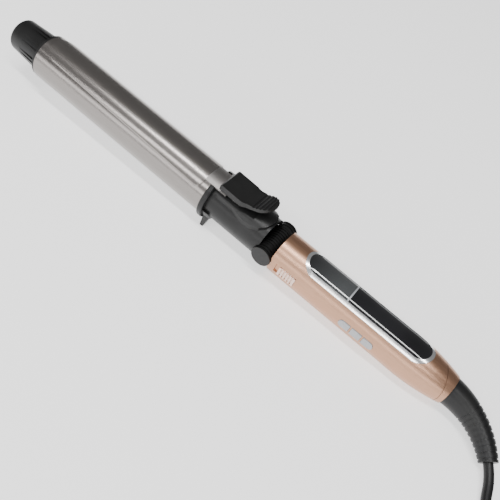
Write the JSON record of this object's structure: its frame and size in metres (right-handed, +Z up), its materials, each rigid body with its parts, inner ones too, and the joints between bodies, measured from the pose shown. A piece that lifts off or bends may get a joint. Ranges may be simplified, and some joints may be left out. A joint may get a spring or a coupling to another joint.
{
  "type": "curling iron",
  "caption": "Folding curling iron: round heated barrel with spring clip and thumb lever, cool tip, stand legs, slim handle with display panel and side buttons, swivel cord.",
  "frame": {"origin": "centre of the iron's base at rest, on the surface it lies on", "axes": "+X from the cool tip towards the cord, +Z up through the thumb lever, -Y towards the button side"},
  "size_m": [0.5254, 0.0862, 0.047],
  "materials": {
    "barrel_metal": "satin",
    "clip_metal": "satin",
    "heater_aluminium": "raw",
    "copper": "raw",
    "ceramic": "matte",
    "black_plastic": "satin",
    "steel": "brushed",
    "rose_gold": "satin",
    "chrome": "polished",
    "gloss_black": "gloss",
    "silver_grey": "satin",
    "board_green": "matte",
    "cord_black": "matte"
  },
  "bodies": {
    "handle": {"hinge_knuckle": "black_plastic", "handle_sleeve": "rose_gold", "tail_cap": "rose_gold", "panel_bezel": "chrome", "display_lens": "gloss_black", "panel_divider": "silver_grey", "panel_insert": "gloss_black", "lock_bolt": "steel", "slider_spring": "steel", "inner_chassis": "black_plastic", "circuit_board": "board_green", "display_module": "black_plastic", "button_board": "board_green", "tact_switches": "black_plastic", "power_module": "black_plastic", "supply_wires": "copper"},
    "head": {"barrel_tube": "barrel_metal", "heater_half_upper": "heater_aluminium", "heater_half_lower": "heater_aluminium", "ptc_plates": "ceramic", "electrode_upper": "copper", "electrode_lower": "copper", "temperature_sensor": "ceramic", "thermal_fuse": "ceramic", "heat_sleeve": "ceramic", "tip_ring": "black_plastic", "cool_tip": "black_plastic", "tip_screw": "steel", "lever_pin": "steel", "lever_bracket": "steel", "lever_spring": "steel", "flange_ring": "black_plastic", "collar_upper": "black_plastic", "collar_lower": "black_plastic", "collar_screws": "steel", "lever_cradle": "black_plastic", "rest_stand": "black_plastic", "hinge_fork": "black_plastic", "hinge_pin": "steel", "hinge_washers": "steel"},
    "clip": {"clip_plate": "clip_metal", "clip_neck": "clip_metal", "thumb_lever": "black_plastic", "lever_rivets": "steel"},
    "lock_slider": {"lock_slider": "rose_gold"},
    "button_front": {"button_front": "silver_grey"},
    "button_middle": {"button_middle": "silver_grey"},
    "button_rear": {"button_rear": "silver_grey"},
    "cord_swivel": {"strain_relief": "cord_black", "power_cord": "cord_black", "cord_coil": "cord_black", "plug_body": "black_plastic", "plug_blades": "steel"}
  },
  "joints": [
    {"name": "fold_hinge", "type": "hinge", "parent": "handle", "child": "head", "pos_m": [0.04718, 0, 0.0189], "axis": [0, 1, 0], "range_deg": [-45, 0]},
    {"name": "clip_pivot", "type": "hinge", "parent": "head", "child": "clip", "pos_m": [0.01374, 0, 0.03754], "axis": [0, 1, 0], "range_deg": [0, 15], "stiffness_Nm_per_rad": 0.3, "springref_deg": -20.05},
    {"name": "lock_slide", "type": "slide", "parent": "handle", "child": "lock_slider", "axis": [-0.9995, 0, 0.0308], "range_m": [0, 0.0025], "stiffness_N_per_m": 300, "springref_m": -0.004},
    {"name": "button_front_press", "type": "slide", "parent": "handle", "child": "button_front", "axis": [0, 1, 0], "range_m": [0, 0.0006], "stiffness_N_per_m": 400, "springref_m": -0.0015},
    {"name": "button_middle_press", "type": "slide", "parent": "handle", "child": "button_middle", "axis": [0, 1, 0], "range_m": [0, 0.0006], "stiffness_N_per_m": 400, "springref_m": -0.0015},
    {"name": "button_rear_press", "type": "slide", "parent": "handle", "child": "button_rear", "axis": [0, 1, 0], "range_m": [0, 0.0006], "stiffness_N_per_m": 400, "springref_m": -0.0015},
    {"name": "cord_turn", "type": "hinge", "parent": "handle", "child": "cord_swivel", "pos_m": [0.18508, 0, 0.01345], "axis": [0.9995, 0, -0.0308], "continuous": true}
  ]
}
